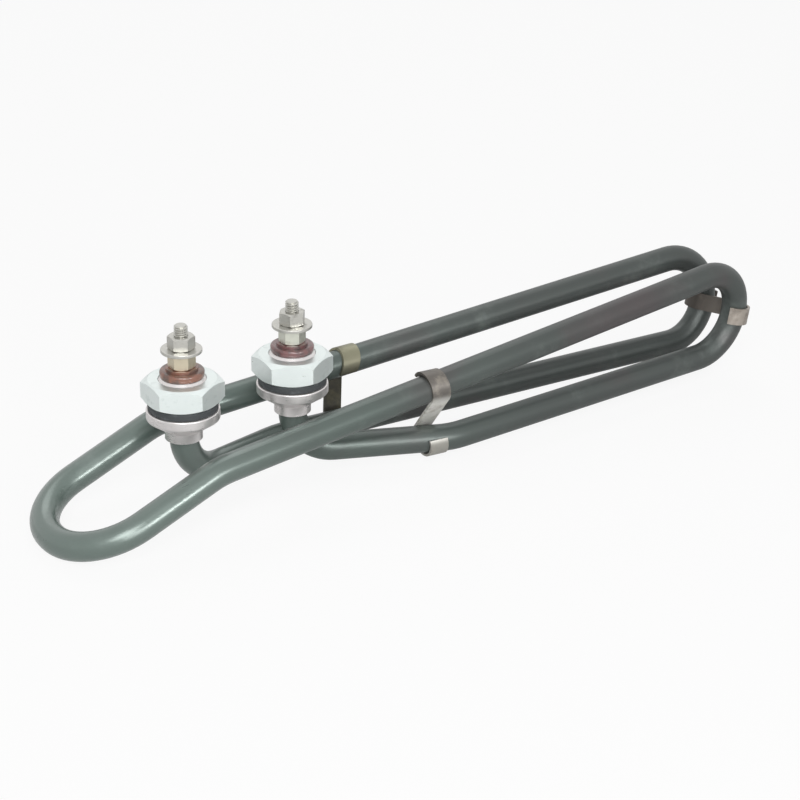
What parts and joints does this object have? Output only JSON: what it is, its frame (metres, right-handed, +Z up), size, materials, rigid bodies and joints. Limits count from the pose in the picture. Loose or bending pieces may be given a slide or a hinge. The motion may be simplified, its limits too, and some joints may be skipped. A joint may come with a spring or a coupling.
{
  "type": "tubular heating element",
  "caption": "Sheathed tubular heating element bent into two clipped hairpins and a low loop, with upright threaded terminals.",
  "frame": {"origin": "midway between the two terminals, in the plane of the collars' gasket faces", "axes": "+X from terminal 1 past terminal 2 toward the hairpins' far bends, +Y to the rear, +Z up along the terminal studs"},
  "size_m": [0.2592, 0.0501, 0.0588],
  "materials": {
    "sheath": "dull oxidised grey-green",
    "zinc_plate": "bright plated",
    "straw_plate": "pale straw plated",
    "steel_trim": "satin",
    "strap": "dull heat-tinted",
    "gasket_rubber": "matte",
    "bead": "matte rust brown",
    "packing": "matte powder",
    "coil_wire": "satin",
    "seal": "matte"
  },
  "bodies": {
    "root": {"end_seal_1": "seal", "end_seal_2": "seal", "gasket_1": "gasket_rubber", "gasket_2": "gasket_rubber", "heater_sheath": "sheath", "insulator_1": "bead", "insulator_2": "bead", "magnesia_filling": "packing", "mounting_nut_1": "zinc_plate", "mounting_nut_2": "zinc_plate", "resistance_coil": "coil_wire", "terminal_lock_nut_1": "steel_trim", "terminal_lock_nut_2": "steel_trim", "terminal_nut_1": "straw_plate", "terminal_nut_2": "straw_plate", "terminal_pin_1": "steel_trim", "terminal_pin_2": "steel_trim", "terminal_washer_1": "steel_trim", "terminal_washer_2": "steel_trim", "threaded_bush_1": "zinc_plate", "threaded_bush_2": "zinc_plate", "tube_clip_left": "strap", "tube_clip_middle": "strap", "tube_clip_right": "strap"}
  },
  "joints": []
}
